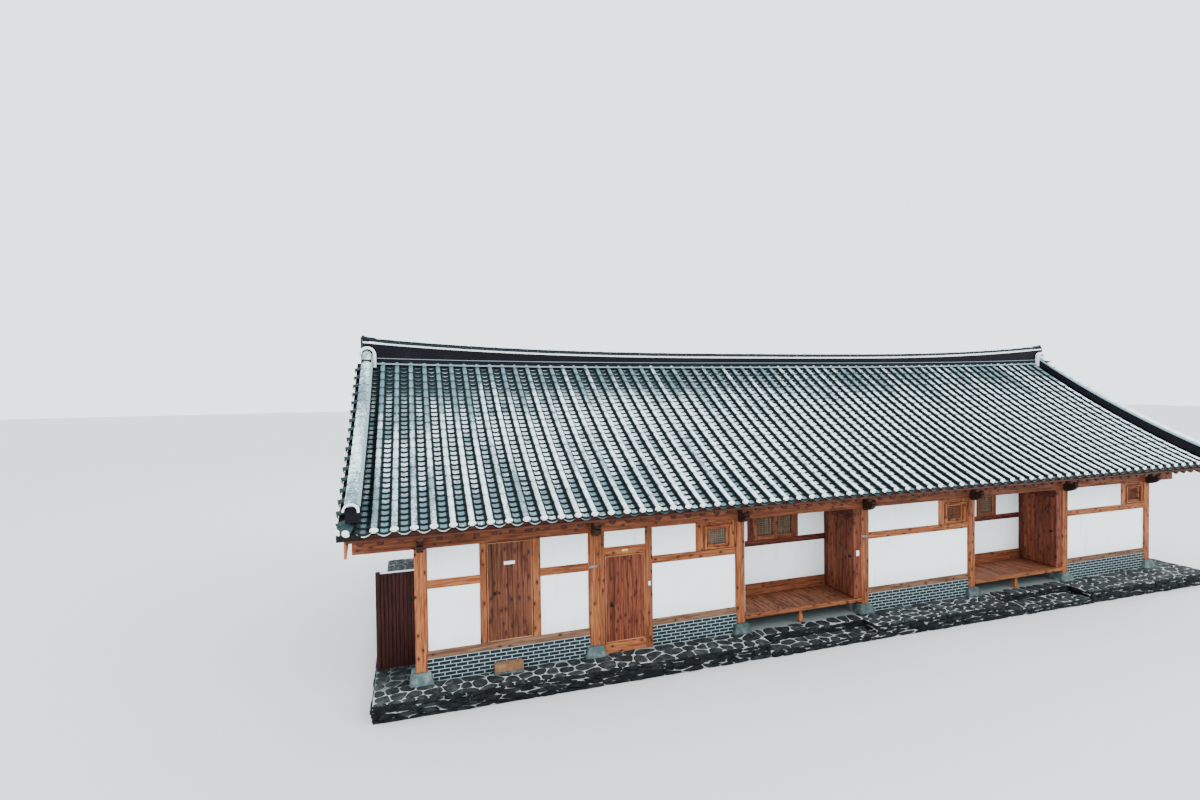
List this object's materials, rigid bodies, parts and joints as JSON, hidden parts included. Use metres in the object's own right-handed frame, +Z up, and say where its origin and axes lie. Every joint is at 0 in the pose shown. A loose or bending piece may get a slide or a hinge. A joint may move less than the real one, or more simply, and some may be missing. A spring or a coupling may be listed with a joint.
{
  "type": "hanok house",
  "caption": "Long one-storey timber house with a curved tiled gable roof, plaster walls on a brick base, hinged board doors and recessed porches on a stone platform",
  "frame": {"origin": "centre of the bounding box on the ground, under the middle of the house", "axes": "+X to the right along the front, +Y to the back, +Z up; the front with the doors faces -Y"},
  "size_m": [21.8, 9.4, 6.78],
  "materials": {
    "timber": "oiled pine with dark knots",
    "red_timber": "dark red-brown stained boards",
    "plaster": "white lime plaster",
    "brick": "blue-black brick with pale joints",
    "stone": "dark laid stone with pale joints",
    "roof_tile": "grey-green fired clay, frosted",
    "floor": "matt floor"
  },
  "bodies": {
    "house": {"platform_base": "stone", "platform_top": "stone", "platform_front_left": "stone", "platform_front_middle": "stone", "platform_front_right": "stone", "floor": "floor", "front_beam": "timber", "rear_beam": "timber", "bay_1_frame": "timber", "bay_1_wall_left": "plaster", "bay_1_wall_right": "plaster", "bay_1_brick_base": "brick", "door_step": "stone", "bay_2_frame": "timber", "bay_2_wall_over_door": "plaster", "bay_2_wall_right": "plaster", "bay_2_window": "timber", "bay_2_brick_base": "brick", "bay_4_frame": "timber", "bay_4_wall": "plaster", "bay_4_window": "timber", "bay_4_brick_base": "brick", "bay_6_frame": "timber", "bay_6_wall": "plaster", "bay_6_window": "timber", "bay_6_brick_base": "brick", "porch_1_wall": "plaster", "porch_1_window": "timber", "porch_1_floor": "timber", "porch_1_side_frame": "red_timber", "porch_2_wall": "plaster", "porch_2_window": "timber", "porch_2_floor": "timber", "porch_2_side_frame": "red_timber", "rear_frame": "timber", "rear_wall": "plaster", "left_gable_frame": "timber", "left_gable_wall": "plaster", "right_gable_frame": "timber", "right_gable_wall": "plaster", "rear_brick_base": "brick", "rafters_front": "timber", "rafters_back": "timber", "ridge_purlin": "timber", "roof_front": "roof_tile", "roof_back": "roof_tile", "main_ridge_left": "roof_tile", "main_ridge_middle": "roof_tile", "main_ridge_right": "roof_tile", "front_left_ridge": "roof_tile", "front_right_ridge": "roof_tile", "back_left_ridge": "roof_tile", "back_right_ridge": "roof_tile", "left_bargeboard": "timber", "right_bargeboard": "timber", "side_screen": "red_timber"},
    "door_1_leaf": {"door_1": "timber"},
    "door_2_leaf": {"door_2": "red_timber"},
    "porch_1_leaf": {"porch_1_door": "red_timber"},
    "porch_2_leaf": {"porch_2_door": "red_timber"}
  },
  "joints": [
    {"name": "door_1_hinge", "type": "hinge", "parent": "house", "child": "door_1_leaf", "pos_m": [-7.6055, -3.755, 1.7], "axis": [0, 0, 1], "range_deg": [0, 100]},
    {"name": "door_2_hinge", "type": "hinge", "parent": "house", "child": "door_2_leaf", "pos_m": [-5.3455, -3.755, 1.3], "axis": [0, 0, 1], "range_deg": [0, 100]},
    {"name": "porch_1_hinge", "type": "hinge", "parent": "house", "child": "porch_1_leaf", "pos_m": [-0.299, -2.89, 1.6], "axis": [0, 0, -1], "range_deg": [0, 90]},
    {"name": "porch_2_hinge", "type": "hinge", "parent": "house", "child": "porch_2_leaf", "pos_m": [6.101, -2.89, 1.6], "axis": [0, 0, -1], "range_deg": [0, 90]}
  ]
}
